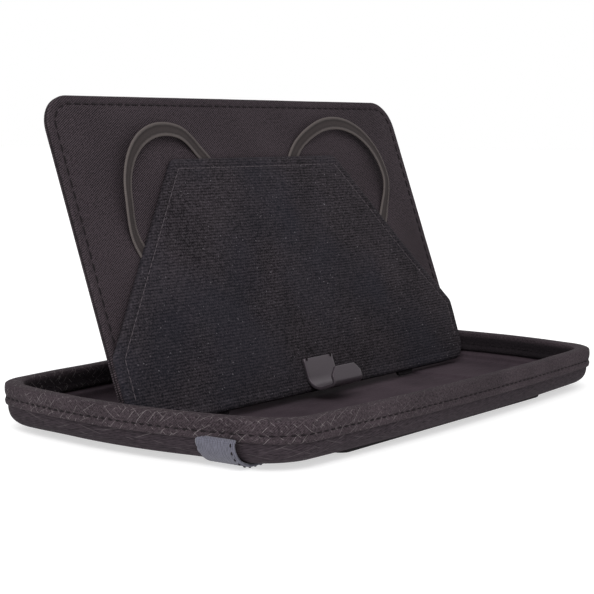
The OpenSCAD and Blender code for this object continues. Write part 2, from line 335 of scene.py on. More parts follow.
def pale_threads(net, co, u, v, colour, strength):
    """Sparse pale threads that cross the cloth in a loose diamond, only near the left end."""
    bend = net.noise(co, 0.12, 1) * 2.4
    total = None
    for slope, pitch, shift in ((1.3, 3.1, 0.0), (-0.9, 3.9, 0.4), (-1.7, 5.3, 0.2)):
        line = net.thin_line((v * slope + u + bend) / pitch + shift, 0.22 / pitch)
        line = line * net.gate(net.noise(co, 0.31 + 0.09 * slope, 1), 0.5, 0.6)
        total = line if total is None else net.math("MAXIMUM", total, line)
    left = net.add("ShaderNodeMapRange", interpolation_type="SMOOTHSTEP")
    net.fill(left, {"Value": net.split(net.position())[0], "From Min": 0.02, "From Max": -0.1})
    return net.mix(total * net.out(left) * strength, colour, srgb(140, 133, 134))


def elastic(name, light, dark):
    """Ribbed elastic: ribs run along its length, with fine cross threads."""
    net = Net(name, roughness=0.85, sheen=0.15, specular=0.25)
    co = net.cloth_coords()
    u, v, _ = net.split(co)
    ribs = net.wave(v / 0.62 + net.noise(co, 0.6, 1) * 0.5)
    picks = net.wave(u / 0.45)
    mottle = net.noise(co, 0.8, 3, 0.7, stretch=(0.6, 1.6, 1.0))
    colour = net.ramp(ribs * 0.3 + (picks * 0.12 + mottle * 0.75), [(0.25, dark), (0.85, light)])
    return net.finish(colour, ribs * 0.7 + picks * 0.4 + mottle * 0.6, 0.14, 0.9)


def loop_elastic():
    """Ribbon with fine cross ribs; its colour carries a painted highlight on the pale rolled edges and
    painted shade along the dark middle groove.
    """
    net = Net("loop_elastic", roughness=0.85, specular=0.15)
    co = net.cloth_coords()
    u, v, _ = net.split(co)
    picks = net.wave(u / 0.62)
    fuzz = net.noise(co, 1.2, 3, 0.6)
    # Painted highlight and shade: the colour goes by distance from the ribbon's middle, dark in the groove
    # and pale on the raised edges.
    level = net.math("ABSOLUTE", v) / 2.8 + (fuzz * 0.3 - 0.15)
    base = net.ramp(level, [(0.15, srgb(54, 48, 48)), (0.45, srgb(46, 41, 41)),
                            (0.62, srgb(76, 70, 69)), (0.95, srgb(92, 85, 83))])
    return net.finish(net.mix(picks * 0.3, base, srgb(22, 20, 20)), picks * -0.5 + fuzz, 0.12, 0.9)


def smooth_lining(name, light, dark):
    """Brushed lining: nearly smooth, with soft patches and a fine nap."""
    net = Net(name, roughness=0.95, specular=0.06)
    co = net.object_coords()
    patch = net.noise(co, 0.04, 3)
    nap = net.noise(co, 1.6, 4, 0.7)
    streak = net.noise(co, 0.5, 2, 0.6, stretch=(0.25, 2.0, 1.0))
    colour = net.ramp(patch * 0.5 + (nap * 0.35 + streak * 0.2), [(0.3, dark), (0.75, light)])
    return net.finish(colour, nap + streak, 0.06, 0.7)


def thread(name, light, dark):
    """Sewing thread, twisted along its length."""
    net = Net(name, roughness=0.8, specular=0.12)
    co = net.cloth_coords()
    u, v, _ = net.split(co)
    twist = net.wave((u + v * 0.7) / 0.5)
    level = twist * 0.6 + net.noise(co, 3.0, 2) * 0.4
    return net.finish(net.ramp(level, [(0.2, dark), (0.8, light)]), twist, 0.05, 0.7)


def satin_black():
    """Hook: black satin sheet with fine brushing, faint smudges, and a pale painted highlight on its sharp
    edges.
    """
    net = Net("hook_satin", roughness=0.34, specular=0.5)
    net.bsdf.inputs["Specular Tint"].default_value = (1.0, 0.86, 0.96, 1.0)
    co = net.object_coords(FOOT, (BOARD_TURN, 0, 0))
    smudge = net.noise(co, 0.22, 3)
    brush = net.noise(co, 1.0, 2, 0.6, stretch=(0.15, 4.0, 4.0))
    # Painted highlight: sharp edges, found by pointiness, are mixed a little towards pale grey.
    painted_edge_highlight = net.gate(net.out(net.add("ShaderNodeNewGeometry"), "Pointiness"), 0.53, 0.6)
    base = net.ramp(smudge * 0.6 + brush * 0.4, [(0.3, srgb(51, 46, 50)), (0.75, srgb(61, 55, 60))])
    colour = net.mix(painted_edge_highlight * 0.2, base, srgb(150, 140, 144))
    return net.finish(colour, brush, 0.01, 0.5, smudge * 0.25 + 0.25)


def fibre_board(name):
    """Stiffener board inside the panels: grey pressed fibre."""
    net = Net(name, roughness=0.95, specular=0.2)
    fibre = net.noise(net.object_coords(), 0.8, 4, 0.7, stretch=(0.4, 1.5, 1.5))
    colour = net.ramp(fibre, [(0.3, srgb(40, 36, 34)), (0.7, srgb(66, 60, 56))])
    return net.finish(colour, fibre, 0.1, 0.8)


BOARD_FRAME = (tuple(FOOT), (BOARD_TURN, 0, 0))
PROP_FRAME = (tuple(RIM_AXIS), (PROP_TURN, 0, 0))

mat_twill = twill("board_twill", srgb(70, 61, 66), srgb(8, 6, 8), *BOARD_FRAME)
mat_twill_back = twill("prop_twill", srgb(70, 61, 66), srgb(8, 6, 8), *PROP_FRAME)
mat_edge = plain_weave("board_edge_cloth", srgb(34, 30, 33), srgb(14, 12, 13), 0.6)
mat_knit = ribbed_knit("backrest_knit", srgb(67, 61, 66), srgb(11, 9, 12), srgb(32, 33, 42), *BOARD_FRAME)
# From 15 mm across the tape, its inner face carries painted shade.
mat_tape = plain_weave("binding_tape", srgb(76, 66, 71), srgb(22, 18, 21), 0.5, lines=0.85, inner=15.0)
mat_hinge = plain_weave("hinge_tape", srgb(46, 42, 45), srgb(18, 16, 18), 0.7)
mat_shell = plain_weave("shell_cloth", srgb(62, 54, 59), srgb(28, 23, 27), 0.5, lines=0.3)
mat_pad = plain_weave("base_pad_cloth", srgb(46, 42, 45), srgb(20, 18, 20), 0.5)
mat_lining = smooth_lining("lining_cloth", srgb(72, 62, 68), srgb(44, 37, 42))
mat_band = elastic("band_elastic", srgb(106, 105, 118), srgb(50, 50, 58))
mat_loop = loop_elastic()
mat_hook = satin_black()
mat_core = fibre_board("stiffener_board")
mat_dark_thread = thread("dark_thread", srgb(36, 31, 34), srgb(18, 15, 17))
mat_grey_thread = thread("grey_thread", srgb(98, 91, 96), srgb(52, 48, 50))

# ---- mesh helpers ----


def new_object(name, verts, faces, material, uvs=None):
    mesh = bpy.data.meshes.new(name)
    mesh.from_pydata([tuple(v) for v in verts], [], faces)
    if uvs is not None:
        layer = mesh.uv_layers.new(name="cloth")
        flat = [c for face in uvs for uv in face for c in uv]
        layer.data.foreach_set("uv", flat)
    bm = bmesh.new()
    bm.from_mesh(mesh)
    bmesh.ops.recalc_face_normals(bm, faces=bm.faces)
    bm.to_mesh(mesh)
    bm.free()
    mesh.polygons.foreach_set("use_smooth", [True] * len(mesh.polygons))
    mesh.materials.append(material)
    obj = bpy.data.objects.new(name, mesh)
    bpy.context.scene.collection.objects.link(obj)
    return obj


def lengths(points):
    """Running length along a list of points."""
    out = [0.0]
    for a, b in zip(points, points[1:]):
        out.append(out[-1] + (Vector(b) - Vector(a)).length)
    return out


def rings_object(name, rings, material, wrap=False, caps=True):
    """Closed skin over rings of points in metres; a ring of one point is a pole."""
    verts, start = [], []
    for ring in rings:
        start.append(len(verts))
        verts.extend(ring)
    biggest = max(rings, key=len)
    around = lengths(list(biggest) + [biggest[0]])
    middle = [r[len(r) // 3] for r in rings]
    down = lengths(middle + ([middle[0]] if wrap else []))
    faces, uvs = [], []
    for i in range(len(rings) if wrap else len(rings) - 1):
        k = (i + 1) % len(rings)
        a, b = rings[i], rings[k]
        for j in range(max(len(a), len(b))):
            m = (j + 1) % max(len(a), len(b))
            face, uv = [], []
            for ring, at, idx, row in ((i, a, j, i), (i, a, m, i), (k, b, m, i + 1), (k, b, j, i + 1)):
                vert = start[ring] + (idx if len(at) > 1 else 0)
                if vert in face:
                    continue
                face.append(vert)
                u = around[j + 1] if idx == m else around[j]
                uv.append((u, down[row]))
            faces.append(face)
            uvs.append(uv)
    if not wrap and caps:
        for ring_index in (0, len(rings) - 1):
            ring = rings[ring_index]
            if len(ring) > 1:
                face = list(range(start[ring_index], start[ring_index] + len(ring)))
                faces.append(face)
                uvs.append([(p[0], p[1]) for p in ring])
    return new_object(name, verts, faces, material, uvs)


def sweep(name, path, frames, section, material):
    """Solid swept along path: each section point is (a, b) along the frame's two axes."""
    rings = []
    for p, (side, out) in zip(path, frames):
        rings.append([p + side * a * MM + out * b * MM for a, b in section])
    along = lengths(path)
    n = len(section)
    verts = [p for r in rings for p in r]
    faces, uvs = [], []
    for i in range(len(rings) - 1):
        for j in range(n):
            k = (j + 1) % n
            faces.append([i * n + j, i * n + k, (i + 1) * n + k, (i + 1) * n + j])
            va, vb = section[j][0] * MM, section[k][0] * MM
            uvs.append([(along[i], va), (along[i], vb), (along[i + 1], vb), (along[i + 1], va)])
    for i in (0, len(rings) - 1):
        faces.append([i * n + j for j in range(n)])
        uvs.append([(along[i], section[j][0] * MM) for j in range(n)])
    return new_object(name, verts, faces, material, uvs)


def put(obj, body, slot, *nodes):
    """Ride and stand for the given CAD nodes; slot is not used."""
    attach(obj, body)
    if nodes:
        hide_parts(*nodes)
    return obj


def smooth(t):
    t = min(max(t, 0.0), 1.0)
    return t * t * (3 - 2 * t)


def uneven(x, y, z, scale):
    """Smooth random value from about -1 to 1; scale is how fast it changes."""
    return noise.noise(Vector((x, y, z)) * scale)


# ---- outlines ----


def tray_outline(inset, corner_steps=14, long_steps=60, short_steps=36):
    """Rounded rectangle with bowed sides, counter-clockwise from the +X side."""
    hx, hy = TRAY_L / 2 - inset, TRAY_W / 2 - inset
    corners = []
    for q, (sx, sy) in enumerate(((1, 1), (-1, 1), (-1, -1), (1, -1))):
        arc = []
        for i in range(corner_steps + 1):
            a = math.radians(90 * q + 90 * i / corner_steps)
            arc.append((sx * (hx - CORNER_R) + CORNER_R * math.cos(a),
                        sy * (hy - CORNER_R) + CORNER_R * math.sin(a)))
        corners.append(arc)
    points = []
    for q in range(4):
        points += corners[q]
        a, b = corners[q][-1], corners[(q + 1) % 4][0]
        steps = long_steps if q in (0, 2) else short_steps
        for i in range(1, steps):
            t = i / steps
            points.append((a[0] + (b[0] - a[0]) * t, a[1] + (b[1] - a[1]) * t))
    out = []
    for x, y in points:
        u, v = x / hx, y / hy
        out.append((x - SHORT_BOW * v * v * u, y - LONG_BOW * u * u * v))
    return out


def tray_ring(inset, z, **steps):
    return [in_tray(x, y, z) for x, y in tray_outline(inset, **steps)]


class Outline:
    """Rounded polygon that can be drawn inset with the same number of points."""

    def __init__(self, corners, radii, steps=8, side=6.0):
        self.corners = [Vector(c) for c in corners]
        self.radii = radii
        self.steps = steps
        ends = self.corners[1:] + self.corners[:1]
        self.counts = [max(1, int((b - a).length / side)) for a, b in zip(self.corners, ends)]

    def at(self, inset):
        n = len(self.corners)
        moved = []
        for i in range(n):
            a, b, c = self.corners[i - 1], self.corners[i], self.corners[(i + 1) % n]
            u, w = (b - a).normalized(), (c - b).normalized()
            left_u, left_w = Vector((-u.y, u.x)), Vector((-w.y, w.x))
            k = inset / (1 + left_u.dot(left_w))
            moved.append(b + (left_u + left_w) * k)
        arcs = []
        for i in range(n):
            a, b, c = moved[i - 1], moved[i], moved[(i + 1) % n]
            u, w = (a - b).normalized(), (c - b).normalized()
            half = math.acos(max(-1, min(1, u.dot(w)))) / 2
            r = max(0.25, self.radii[i] - inset)
            centre = b + (u + w).normalized() * r / math.sin(half)
            s = b + u * r / math.tan(half) - centre
            e = b + w * r / math.tan(half) - centre
            a0 = math.atan2(s.y, s.x)
            turn = (math.atan2(e.y, e.x) - a0 + math.pi) % (2 * math.pi) - math.pi
            arcs.append([centre + Vector((math.cos(a0 + turn * k / self.steps),
                                          math.sin(a0 + turn * k / self.steps))) * r
                         for k in range(self.steps + 1)])
        out = []
        for i in range(n):
            out += arcs[i]
            a, b = arcs[i][-1], arcs[(i + 1) % n][0]
            out += [a + (b - a) * k / self.counts[i] for k in range(1, self.counts[i])]
        return out


def panel_rings(outline, profile, place, centre, fills, warp=None):
    """Rings of a panel: profile is (inset, height) pairs; fills shrink the last ring inwards."""
    rings = []
    for inset, height in profile:
        rings.append([(p, height) for p in outline.at(inset)])
    last = rings[-1]
    for t in fills:
        rings.append([(p + (centre - p) * t, h) for p, h in last])
    rings.append([(centre, last[0][1])])
    return [[place(p.x, p.y, h + (warp(p.x, p.y) if warp else 0.0)) for p, h in ring] for ring in rings]


def double_panel(name, outline, back, front, place, centre, material, warp=None, fills=None):
    """Closed panel from its back pole, over the edge, to its front pole."""
    fills = fills or [i / 14 for i in range(1, 14)]
    back_rings = panel_rings(outline, back, place, centre, fills, None)
    front_rings = panel_rings(outline, front, place, centre, fills, warp)
    return rings_object(name, list(reversed(back_rings)) + front_rings, material)


# ---- stitches ----


def walk(path, closed):
    """Point and direction at any distance along a path of points in metres."""
    pts = list(path) + ([path[0]] if closed else [])
    run = lengths(pts)
    state = {"i": 0}

    def at(s):
        i = state["i"]
        while i > 0 and run[i] > s:
            i -= 1
        while i < len(run) - 2 and run[i + 1] < s:
            i += 1
        state["i"] = i
        t = (s - run[i]) / max(1e-9, run[i + 1] - run[i])
        return pts[i].lerp(pts[i + 1], t), (pts[i + 1] - pts[i]).normalized()

    return at, run[-1]


def stitch_row(name, body, slot, path, out_at, material, pitch, radius, share=0.72, closed=True, sink=0.3):
    """Row of sewn stitches: each is a short thread that dips into the cloth at both ends."""
    at, total = walk(path, closed)
    count = int(total / (pitch * MM))
    verts, faces, uvs = [], [], []
    sides, steps = 6, 6
    for c in range(count):
        jitter = noise.noise(Vector((c * 0.73, 3.1, 7.7))) * 0.12
        s0 = total * c / count
        base = len(verts)
        for i in range(steps + 1):
            t = i / steps
            p, d = at(min(total, s0 + t * share * pitch * MM))
            out = out_at(p)
            side = d.cross(out).normalized()
            lift = radius * 0.55 - sink * (2 * t - 1) ** 4
            mid = p + out * lift * MM + side * jitter * (2 * t - 1) * MM
            r = radius * (0.55 + 0.45 * math.sin(math.pi * t)) * MM
            for k in range(sides):
                a = 2 * math.pi * k / sides
                verts.append(mid + side * math.cos(a) * r + out * math.sin(a) * r)
        for i in range(steps):
            for k in range(sides):
                m = (k + 1) % sides
                faces.append([base + i * sides + k, base + i * sides + m,
                              base + (i + 1) * sides + m, base + (i + 1) * sides + k])
                u0, u1 = i / steps * pitch * MM, (i + 1) / steps * pitch * MM
                v0, v1 = k * 0.3 * MM, (k + 1) * 0.3 * MM
                uvs.append([(u0, v0), (u0, v1), (u1, v1), (u1, v0)])
        for i in (0, steps):
            faces.append([base + i * sides + k for k in range(sides)])
            uvs.append([(0.0, k * 0.3 * MM) for k in range(sides)])
    put(new_object(name, verts, faces, material, uvs), body, slot)


# ---- tray ----


def quarter(a_from, a_to, steps):
    return [math.radians(a_from + (a_to - a_from) * i / steps) for i in range(steps + 1)]


def shell_ring(inset, z):
    """Ring of the shell; low down its four corners are fuller than the bowed rim."""
    ring = []
    for x, y in tray_outline(inset):
        near = smooth((abs(y) / (TRAY_W / 2) - 0.35) / 0.5) * smooth((abs(x) - 60) / 40)
        ring.append(in_tray(x + math.copysign(0.55 * inset * near, x), y, z))
    return ring


def shell_piece():
    """Moulded shell: flat underside, rounded edge, straight wall, hidden inside."""
    flat_in, wall_z = 10.0, TAPE_OUT_Z
    rings = [[in_tray(0, 0, SHELL_FLAT_Z)]]
    for t in (0.3, 0.6, 0.85):
        rings.append([p * t + rings[0][0] * (1 - t) for p in shell_ring(flat_in, SHELL_FLAT_Z)])
    for a in quarter(0, 90, 14):
        inset = flat_in - (flat_in - SHELL_OUT - 0.1) * math.sin(a) ** 0.8
        z = wall_z - 0.25 - (wall_z - 0.25 - SHELL_FLAT_Z) * max(0.0, math.cos(a)) ** 0.8
        rings.append(shell_ring(inset, z))
    rings.append(shell_ring(SHELL_OUT + 0.02, wall_z + 0.4))
    rings.append(tray_ring(SHELL_OUT + 0.02, RIM_Z - 0.9))
    rings.append(tray_ring(3.1, RIM_Z - 0.9))
    rings.append(tray_ring(3.1, TAPE_IN_Z))
    for a in quarter(80, 0, 6):
        rings.append(tray_ring(11.0 - 7.7 * math.sin(a), TAPE_IN_Z - 5.4 * math.cos(a)))
    rings.append([in_tray(0, 0, SHELL_FLAT_Z + 1.2)])
    obj = rings_object("shell_cover", rings, mat_shell)
    return put(obj, "tray", "shell_fabric", "tray_shell")


def base_pad(name, node, fillet):
    """Raised pad under the tray with a filleted edge."""
    low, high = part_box(node)
    x = high.x / MM
    y0, y1 = low.y / MM, high.y / MM
    outline = Outline([(-x, y0), (x, y0), (x, y1), (-x, y1)], [min(5.0, (y1 - y0) / 2.2)] * 4, 8, 4.0)
    top = SHELL_FLAT_Z
    profile = [(0.0, top)] + [(fillet * (1 - math.cos(a)), top * (1 - math.sin(a)) if a < 1.5 else 0.0)
                              for a in quarter(0, 90, 6)]
    centre = Vector((0, (y0 + y1) / 2))
    rings = panel_rings(outline, profile, in_tray, centre, [0.3, 0.6, 0.85])
    rings = [[in_tray(centre.x, centre.y, top)]] + rings
    obj = rings_object(name, rings, mat_pad)
    return put(obj, "tray", "shell_fabric", node)


def floor_height(x):
    """The floor steps up towards both ends of the tray."""
    return FLOOR_Z + (END_FLOOR_Z - FLOOR_Z) * smooth((abs(x) - END_FLOOR_X + 0.2) / 1.1)


def lining_piece():
    """Lining: wall behind the binding, small ledge, fillet, and a floor with raised ends."""
    profile = [(3.85, RIM_Z - 1.0), (3.85, TAPE_IN_Z - 0.1), (3.95, 7.9), (4.2, 7.55), (4.8, 7.35),
               (5.4, 7.2), (5.75, 6.95), (5.9, 6.6), (5.95, 6.0), (6.1, 5.2), (6.5, 4.4), (7.3, 3.85),
               (8.4, 3.52), (9.6, FLOOR_Z), (11.0, FLOOR_Z)]
    rings = [tray_ring(3.25, FLOOR_Z - 0.4), tray_ring(3.25, RIM_Z - 1.0)]
    rings += [tray_ring(i, z) for i, z in profile]
    obj = rings_object("lining_cover", rings, mat_lining)
    mesh = obj.data
    bm = bmesh.new()
    bm.from_mesh(mesh)
    for sign in (-1, 1):
        for edge in (-0.3, 0.0, 0.25, 0.5, 0.8, 1.1):
            plane = in_tray(sign * (END_FLOOR_X + edge), 0, 0)
            geom = bm.verts[:] + bm.edges[:] + bm.faces[:]
            bmesh.ops.bisect_plane(bm, geom=geom, plane_co=plane, plane_no=(1, 0, 0))
    bmesh.ops.triangulate(bm, faces=[f for f in bm.faces if len(f.verts) > 4])
    for v in bm.verts:
        x, z = v.co.x / MM, v.co.z / MM
        if z < 5.0 and z > FLOOR_Z - 0.1:
            fade = 1 - smooth((z - FLOOR_Z) / 2.0)
            v.co.z += (floor_height(x) - FLOOR_Z) * fade * MM
    bm.to_mesh(mesh)
    bm.free()
    return put(obj, "tray", "lining", "tray_lining", "floor_pad_left", "floor_pad_right")


STITCH_Z = 11.2
RIM_PITCH = 3.2


def binding_section():
    """Folded tape around the rim: (inset, z) from the outer lower edge over the top."""
    r = TAPE_IN / 2
    outer = [(0.72, TAPE_OUT_Z + 0.05), (0.3, TAPE_OUT_Z - 0.05), (0.05, TAPE_OUT_Z + 0.2), (-0.08, 9.6),
             (-0.1, 10.2), (0.02, STITCH_Z - 0.6), (0.26, STITCH_Z - 0.2), (0.32, STITCH_Z),
             (0.24, STITCH_Z + 0.3), (0.0, STITCH_Z + 0.9), (-0.1, 13.0), (-0.1, 14.0), (-0.02, 14.9)]
    top = [(r + r * math.cos(math.radians(180 - 15 * i)),
            RIM_Z - 0.95 + 0.95 * math.sin(math.radians(15 * i))) for i in range(1, 12)]
    inner = [(TAPE_IN + 0.04, 14.8), (TAPE_IN + 0.08, 13.6), (TAPE_IN + 0.05, 12.4),
             (TAPE_IN - 0.25, STITCH_Z), (TAPE_IN + 0.1, 10.1), (TAPE_IN + 0.05, 9.1),
             (TAPE_IN - 0.2, TAPE_IN_Z - 0.02), (LINING_IN + 0.1, TAPE_IN_Z)]
    hidden = [(LINING_IN + 0.02, RIM_Z - 0.85), (SHELL_OUT - 0.02, RIM_Z - 0.85)]
    return outer + top + inner + hidden


FINE = {"corner_steps": 30, "long_steps": 200, "short_steps": 120}


def binding_piece():
    section = binding_section()
    outlines = {}
    rings = []
    base = tray_outline(0, **FINE)
    run = lengths([(x, y, 0) for x, y in base + [base[0]]])
    for inset, z in section:
        key = round(inset, 3)
        if key not in outlines:
            outlines[key] = tray_outline(inset, **FINE)
        near = max(0.0, 1 - abs(z - STITCH_Z) / 1.6)
        ring = []
        for i, (x, y) in enumerate(outlines[key]):
            pull = near * 0.16 * (0.5 + 0.5 * math.cos(2 * math.pi * run[i] / RIM_PITCH))
            wave = 0.14 * uneven(x, y, z * 2, 0.08) + 0.05 * uneven(x, y, z, 0.5)
            sign = -1 if inset > TAPE_IN / 2 else 1
            shift = (pull * sign + wave) / math.hypot(x, y)
            lift = 0.12 * uneven(x, y, 5.0, 0.05) if z > 15 else 0.0
            ring.append(in_tray(x * (1 - shift), y * (1 - shift), z + lift))
        rings.append(ring)
    obj = rings_object("rim_tape", rings, mat_tape, wrap=True)
    return put(obj, "tray", "binding_tape", "rim_binding")


def outline_normals(points):
    n = len(points)
    table = []
    for i in range(n):
        a, b = Vector(points[i - 1]), Vector(points[(i + 1) % n])
        d = (b - a).normalized()
        table.append(Vector((d.y, -d.x, 0)))
    return table


def binding_stitches():
    for name, inset, sign in (("rim_thread_outside", 0.36, 1), ("rim_thread_inside", TAPE_IN - 0.25, -1)):
        points = tray_outline(inset, **FINE)
        normals = outline_normals(points)
        path = [in_tray(x, y, STITCH_Z) for x, y in points]
        cursor = {"i": 0}

        def out_at(p):
            i = cursor["i"]
            n = len(path)
            best = min(range(i - 4, i + 12), key=lambda k: (path[k % n] - p).length)
            cursor["i"] = best % n
            return normals[best % n] * sign

        stitch_row(name, "tray", "binding_tape", path, out_at, mat_dark_thread, pitch=RIM_PITCH, radius=0.24)


BAND_W = 15.0
BAND_T = 1.2


def band_path():
    """The band's middle line, left half first: down from the binding and under the tray."""
    low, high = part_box("closure_band")
    half = (high.x - low.x) / 2 / MM
    top = TAPE_OUT_Z + 0.9
    bend_x, bend_z = 10.0, 7.9
    centre_x = half - 0.6 - bend_x
    mid_z = low.z / MM + BAND_T / 2
    points = [(-(half - 1.35), top), (-(half - 0.8), TAPE_OUT_Z + 0.1)]
    for a in quarter(0, 90, 30):
        points.append((-(centre_x + bend_x * math.cos(a)), mid_z + bend_z - bend_z * math.sin(a)))
    for i in range(1, 40):
        points.append((-centre_x + centre_x * i / 40, mid_z))
    right = [(-x, z) for x, z in reversed(points)]
    return points + [(0, mid_z)] + right


def band_piece():
    low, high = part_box("closure_band")
    y_mid = (low.y + high.y) / 2 / MM
    path2 = band_path()
    path = [in_tray(x, y_mid, z) for x, z in path2]
    frames = []
    for i in range(len(path)):
        d = (path[min(i + 1, len(path) - 1)] - path[max(i - 1, 0)]).normalized()
        out = Vector((d.z, 0, -d.x))
        frames.append((Vector((0, 1, 0)), out if out.length > 0 else Vector((0, 0, -1))))
    w, t = BAND_W / 2, BAND_T / 2
    section = []
    ribs = 20
    for i in range(ribs + 1):
        a = -w + 2 * w * i / ribs
        edge = smooth((w - abs(a)) / 0.7)
        section.append((a, (t - 0.12) * (0.35 + 0.65 * edge) + 0.1 * (i % 2)))
    for i in range(ribs, -1, -1):
        a = -w + 2 * w * i / ribs
        edge = smooth((w - abs(a)) / 0.7)
        section.append((a, -(t - 0.12) * (0.35 + 0.65 * edge)))
    obj = sweep("closure_elastic", path, frames, section, mat_band)
    for v in obj.data.vertices:
        side = (v.co.y / MM - y_mid) / w
        if side > 0.93:
            v.co.y += 0.4 * noise.noise(Vector((v.co.x, v.co.z, side)) / MM * 0.9) * MM
    put(obj, "tray", "grey_elastic", "closure_band")
    row = [p + Vector((0, -(w - 1.1) * MM, 0)) + f[1] * (t - 0.05) * MM for p, f in zip(path, frames)]
    outs = [f[1] for f in frames]

    def out_at(p):
        best = min(range(len(row)), key=lambda k: (row[k] - p).length)
        return outs[best]

    stitch_row("closure_seam", "tray", "grey_elastic", row[2:], out_at, mat_dark_thread, pitch=2.6,
               radius=0.26, share=0.5, closed=False)


# ---- board ----

HEM = 3.1
STITCH_PITCH = 4.0


def board_outline():
    x = BOARD_W / 2
    return Outline([(-x, 0), (x, 0), (x, BOARD_H), (-x, BOARD_H)], [BOARD_R] * 4, 14, 2.6)


def board_warp(x, v):
    """Cloth laid on board is never quite flat."""
    return 0.16 * uneven(x, v, 0, 0.035) + 0.05 * uneven(x, v, 9, 0.2)


def face_profile(n_edge, n_face, d):
    """Edge roll, puffed hem, stitch groove and field of a cover; d is 1 on the front, -1 on the back."""
    face = [(0.05, -0.42), (0.22, -0.16), (0.6, 0.0), (1.2, 0.1), (2.1, 0.12), (2.6, -0.04), (HEM, -0.28),
            (3.6, -0.04), (4.2, 0.06), (6.0, 0.08), (10.0, 0.05)]
    edge = [(0.55, n_edge), (0.06, n_edge), (0.0, n_edge + 0.2 * d)]
    return edge + [(inset, n_face + n * d) for inset, n in face]


def board_pieces():
    outline = board_outline()
    centre = Vector((0, BOARD_H / 2))
    fills = [i / 22 for i in range(1, 22)]
    front = double_panel("board_front_cover", outline, [(0.62, -0.55), (3.0, -0.42), (10.0, -0.42)],
                         face_profile(-0.95, 0.0, 1), on_board, centre, mat_twill, board_warp, fills)
    put(front, "board", "board_twill", "board_front_skin")
    back = double_panel("board_back_cover", outline, [(0.62, -1.9), (3.0, -2.08), (10.0, -2.08)],
                        face_profile(-1.55, -BOARD_T, -1), on_board, centre, mat_twill, None, fills)
    put(back, "board", "board_twill", "board_back_skin")
    section = [(0.75, -0.9), (0.25, -0.95), (0.12, -1.25), (0.25, -1.6), (0.75, -1.62)]
    rings = [[on_board(p.x, p.y, n) for p in outline.at(i)] for i, n in section]
    edge = rings_object("board_edge_wrap", rings, mat_edge, wrap=True)
    put(edge, "board", "board_twill", "board_edging")
    hem = outline.at(HEM)
    for name, n, d in (("board_thread_front", -0.13, 1), ("board_thread_back", -BOARD_T + 0.13, -1)):
        path = [on_board(p.x, p.y, n + (board_warp(p.x, p.y) if d > 0 else 0)) for p in hem]
        stitch_row(name, "board", "board_twill", path, lambda p, d=d: OUT * d, mat_dark_thread,
                   pitch=STITCH_PITCH, radius=0.28)


def foot_tabs():
    """Small cloth tabs folded under the board's lower edge."""
    for node in ("left_foot_tab", "right_foot_tab"):
        low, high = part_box(node)
        x0, x1 = low.x / MM, high.x / MM
        outline = Outline([(x0, -1.62), (x1, -1.62), (x1, 3.4), (x0, 3.4)], [1.4, 1.4, 0.6, 0.6], 6, 1.2)
        centre = Vector(((x0 + x1) / 2, 0.9))
        obj = double_panel(node + "_cloth", outline, [(0.0, -0.6), (0.25, -1.05), (0.6, -1.18)],
                           [(0.0, -0.55), (0.2, -0.1), (0.6, 0.02)], on_board, centre, mat_hinge,
                           fills=[0.3, 0.6, 0.85])
        put(obj, "board", "binding_tape", node)


# ---- backrest ----

REST_SIDE = 24.3
REST_TOP = 89.1
REST_TOP_HALF = 48.4
REST_FRONT = 2.0


def backrest_outline():
    x = BOARD_W / 2
    corners = [(-x, 0.4), (x, 0.4), (x, REST_SIDE), (REST_TOP_HALF, REST_TOP), (-REST_TOP_HALF, REST_TOP),
               (-x, REST_SIDE)]
    return Outline(corners, [7, 7, 4, 4.5, 4.5, 4], 8, 2.4)


def backrest_warp(x, v):
    """The knit panel lifts a little at its side corners and is softly uneven."""
    corner = math.exp(-((abs(x) - BOARD_W / 2) ** 2 + (v - REST_SIDE) ** 2) / 260)
    lean = 0.8 if x > 0 else 0.25
    return lean * corner + 0.22 * uneven(x, v, 3, 0.03) + 0.07 * uneven(x, v, 5, 0.22)


def backrest_piece():
    outline = backrest_outline()
    centre = Vector((0, 44))
    back = [(0.1, 0.06), (1.2, 0.06)]
    front = [(-0.3, 0.5), (-0.38, 1.1), (-0.3, 1.6), (0.0, 1.95), (0.5, 2.14), (1.4, 2.26), (2.4, 2.22),
             (3.0, 2.08), (3.4, 1.98), (3.8, 2.06), (4.6, 2.16), (8.0, 2.2)]
    obj = double_panel("backrest_knit_cover", outline, back, front, on_board, centre, mat_knit, backrest_warp,
                       [i / 30 for i in range(1, 30)])
    put(obj, "board", "ribbed_knit", "backrest_cover", "backrest_backing", "backrest_core")
    hem = [p for p in outline.at(3.4) if p.y > 8]
    first = min(range(len(hem)), key=lambda i: hem[i].y - hem[i].x)
    hem = hem[first:] + hem[:first]
    path = [on_board(p.x, p.y, 2.0 + backrest_warp(p.x, p.y)) for p in hem]
    stitch_row("backrest_thread", "board", "ribbed_knit", path, lambda p: OUT, mat_grey_thread, pitch=2.8,
               radius=0.15, share=0.9, sink=0.16, closed=False)


# ---- corner loops ----

LOOP_W = 5.1

# Each loop is an arc of a tilted oval on the board: centre, radii, tilt, and its first and last angle.
LEFT_LOOP = ((-50.0, 71.0), (27.0, 29.0), -5.0, 33.0, 222.0)
RIGHT_LOOP = ((47.0, 75.0), (33.5, 26.0), 25.0, 127.0, -70.0)


def loop_curve(t, loop):
    """Point of a loop's middle line, t from 0 at its inner end to 1 at its outer end."""
    centre, radii, tilt, first, last = loop
    angle, turn = math.radians(first + (last - first) * t), math.radians(tilt)
    u, w = radii[0] * math.cos(angle), radii[1] * math.sin(angle)
    return Vector((centre[0] + u * math.cos(turn) - w * math.sin(turn),
                   centre[1] + u * math.sin(turn) + w * math.cos(turn), 0))


def loop_height(t):
    """Stand-off from the board: under the backrest at both ends, free in between."""
    ends = smooth((min(t, 1 - t) - 0.085) / 0.17)
    return 0.5 + 2.4 * ends


